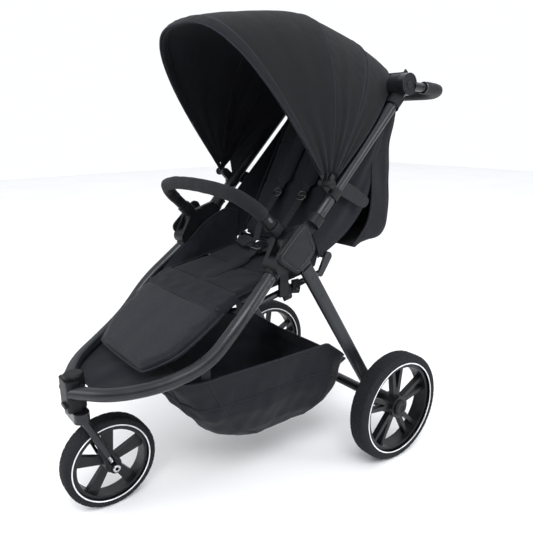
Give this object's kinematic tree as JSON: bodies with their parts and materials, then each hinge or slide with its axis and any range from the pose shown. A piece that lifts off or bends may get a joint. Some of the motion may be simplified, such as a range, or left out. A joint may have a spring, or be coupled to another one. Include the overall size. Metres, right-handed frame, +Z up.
{
  "type": "jogging stroller",
  "caption": "Three-wheeled jogging stroller with a swivelling front wheel, arched canopy, padded seat with harness, bumper bar, under-seat basket and folding frame.",
  "frame": {"origin": "on the floor, midway across the width and along the length", "axes": "+Z up, -Y towards the front wheel, +X to the stroller's left"},
  "size_m": [0.636, 1.072, 1.1714],
  "materials": {
    "frame_tube": "satin black anodised tube",
    "moulding": "fine-textured black moulding",
    "button": "smooth black",
    "steel": "bright zinc",
    "spring": "bright coil",
    "side_pad": "dark imitation leather",
    "grip": "black imitation leather",
    "seat_fabric": "navy-black woven polyester",
    "basket_fabric": "navy-black woven polyester",
    "canopy_fabric": "near-black woven polyester",
    "calf_fabric": "blue-grey woven polyester",
    "sleeve_fabric": "woven sleeve",
    "webbing": "black webbing and padded covers",
    "bow": "black plastic strip",
    "rim": "satin black moulded rim",
    "tyre": "dark foam tyre"
  },
  "bodies": {
    "chassis": {"front_tube_left": "frame_tube", "front_tube_right": "frame_tube", "caster_housing": "moulding", "caster_cap": "moulding", "hinge_housings": "moulding", "hinge_covers": "moulding", "hinge_pads": "side_pad", "hinge_pins": "steel", "bumper_sockets": "moulding", "seat_frame": "frame_tube", "seat_pad": "seat_fabric", "side_wings": "seat_fabric", "lap_harness": "webbing", "harness_buckle": "button", "footwell": "seat_fabric", "basket": "basket_fabric", "frame_rivets": "steel"},
    "push_frame": {"push_tube_left": "frame_tube", "push_tube_right": "frame_tube", "push_knuckles": "moulding", "handle_pivots": "moulding", "canopy_clips": "moulding", "side_tabs": "side_pad", "rear_flap": "canopy_fabric", "canopy_rear_panel": "canopy_fabric"},
    "back_carrier": {"back_hinge_bar": "frame_tube"},
    "backrest": {"backrest_pad": "seat_fabric", "shoulder_straps": "webbing"},
    "canopy_rear": {"canopy_rear_bow": "bow"},
    "canopy_mid": {"canopy_mid_bow": "bow", "canopy_mid_panel": "canopy_fabric"},
    "canopy_front": {"canopy_front_bow": "bow", "canopy_front_panel": "canopy_fabric"},
    "handlebar": {"handlebar": "frame_tube", "handlebar_grip": "grip"},
    "handle_button_left": {"handle_button_left": "button"},
    "handle_button_right": {"handle_button_right": "button"},
    "bumper": {"bumper_bar": "moulding", "bumper_sleeve": "sleeve_fabric"},
    "bumper_button_left": {"bumper_button_left": "button"},
    "bumper_button_right": {"bumper_button_right": "button"},
    "leg_rest": {"leg_rest_pad": "calf_fabric", "leg_rest_hinge": "frame_tube"},
    "buckle_button": {"buckle_button": "button"},
    "rear_frame": {"rear_legs": "frame_tube", "rear_axle": "frame_tube", "brake_housings": "moulding"},
    "brake_pedal": {"brake_pedal": "moulding"},
    "rear_wheel_left": {"rear_rim_left": "rim", "rear_tyre_left": "tyre"},
    "rear_wheel_right": {"rear_rim_right": "rim", "rear_tyre_right": "tyre"},
    "fork": {"fork": "frame_tube", "fork_dropouts": "moulding", "suspension_springs": "spring"},
    "swivel_lock": {"swivel_lock": "moulding"},
    "front_axle": {"front_axle": "steel"},
    "front_wheel": {"front_rim": "rim", "front_tyre": "tyre"}
  },
  "joints": [
    {"name": "fold", "type": "hinge", "parent": "chassis", "child": "push_frame", "pos_m": [0, -0.025, 0.633], "axis": [1, 0, 0], "range_deg": [-91, 0]},
    {"name": "rear_leg_fold", "type": "hinge", "parent": "chassis", "child": "rear_frame", "pos_m": [0, -0.025, 0.633], "axis": [1, 0, 0], "range_deg": [-30, 0]},
    {"name": "back_fold", "type": "hinge", "parent": "chassis", "child": "back_carrier", "pos_m": [0, 0.12, 0.575], "axis": [1, 0, 0], "range_deg": [-107.38, 0]},
    {"name": "recline", "type": "hinge", "parent": "back_carrier", "child": "backrest", "pos_m": [0, 0.12, 0.575], "axis": [-1, 0, 0], "range_deg": [0, 35], "deforming": ["rear_flap"]},
    {"name": "canopy_rear_fold", "type": "hinge", "parent": "push_frame", "child": "canopy_rear", "pos_m": [0, 0.077, 0.765], "axis": [-1, 0, 0], "range_deg": [0, 9.3]},
    {"name": "canopy_mid_fold", "type": "hinge", "parent": "canopy_rear", "child": "canopy_mid", "pos_m": [0, 0.077, 0.765], "axis": [-1, 0, 0], "range_deg": [0, 16.6]},
    {"name": "canopy_fold", "type": "hinge", "parent": "canopy_mid", "child": "canopy_front", "pos_m": [0, 0.077, 0.765], "axis": [-1, 0, 0], "range_deg": [0, 36], "deforming": ["canopy_front_panel", "canopy_mid_panel", "canopy_rear_panel"]},
    {"name": "handle_tilt", "type": "hinge", "parent": "push_frame", "child": "handlebar", "pos_m": [0, 0.33, 0.994], "axis": [-1, 0, 0], "range_deg": [-45, 60]},
    {"name": "handle_button_left_press", "type": "slide", "parent": "handlebar", "child": "handle_button_left", "axis": [-1, 0, 0], "range_m": [0, 0.0025], "stiffness_N_per_m": 400, "springref_m": -0.002},
    {"name": "handle_button_right_press", "type": "slide", "parent": "handlebar", "child": "handle_button_right", "axis": [1, 0, 0], "range_m": [0, 0.0025], "stiffness_N_per_m": 400, "springref_m": -0.002},
    {"name": "bumper_lift", "type": "slide", "parent": "chassis", "child": "bumper", "axis": [0, -0.7071, 0.7071], "range_m": [0, 0.03]},
    {"name": "bumper_button_left_press", "type": "slide", "parent": "bumper", "child": "bumper_button_left", "axis": [-1, 0, 0], "range_m": [0, 0.002], "stiffness_N_per_m": 400, "springref_m": -0.002},
    {"name": "bumper_button_right_press", "type": "slide", "parent": "bumper", "child": "bumper_button_right", "axis": [1, 0, 0], "range_m": [0, 0.002], "stiffness_N_per_m": 400, "springref_m": -0.002},
    {"name": "leg_rest_tilt", "type": "hinge", "parent": "chassis", "child": "leg_rest", "pos_m": [0, -0.176, 0.497], "axis": [-1, 0, 0], "range_deg": [0, 38]},
    {"name": "buckle_press", "type": "slide", "parent": "chassis", "child": "buckle_button", "axis": [0, 0.3304, -0.9439], "range_m": [0, 0.002], "stiffness_N_per_m": 400, "springref_m": -0.002},
    {"name": "brake_press", "type": "hinge", "parent": "rear_frame", "child": "brake_pedal", "pos_m": [0, 0.28, 0.15], "axis": [-1, 0, 0], "range_deg": [0, 28]},
    {"name": "rear_wheel_left_spin", "type": "hinge", "parent": "rear_frame", "child": "rear_wheel_left", "pos_m": [0, 0.28, 0.15], "axis": [1, 0, 0], "continuous": true},
    {"name": "rear_wheel_right_spin", "type": "hinge", "parent": "rear_frame", "child": "rear_wheel_right", "pos_m": [0, 0.28, 0.15], "axis": [1, 0, 0], "continuous": true},
    {"name": "caster_swivel", "type": "hinge", "parent": "chassis", "child": "fork", "pos_m": [0, -0.485, 0.3], "axis": [0, 0, 1], "continuous": true},
    {"name": "front_suspension", "type": "slide", "parent": "fork", "child": "front_axle", "axis": [0, -0.3902, 0.9207], "range_m": [0, 0.007], "stiffness_N_per_m": 6000, "springref_m": -0.012, "deforming": ["suspension_springs"]},
    {"name": "front_wheel_spin", "type": "hinge", "parent": "front_axle", "child": "front_wheel", "pos_m": [0, -0.421, 0.115], "axis": [1, 0, 0], "continuous": true},
    {"name": "swivel_lock_turn", "type": "hinge", "parent": "chassis", "child": "swivel_lock", "pos_m": [0.0025, -0.5115, 0.296], "axis": [0, 1, 0], "range_deg": [0, 40]}
  ],
  "couplings": [
    {"joint": "rear_leg_fold", "follows": "fold", "ratio": 0.32967},
    {"joint": "back_fold", "follows": "fold", "ratio": 1.18},
    {"joint": "canopy_mid_fold", "follows": "canopy_fold", "ratio": 0.46111},
    {"joint": "canopy_rear_fold", "follows": "canopy_fold", "ratio": 0.25833}
  ]
}
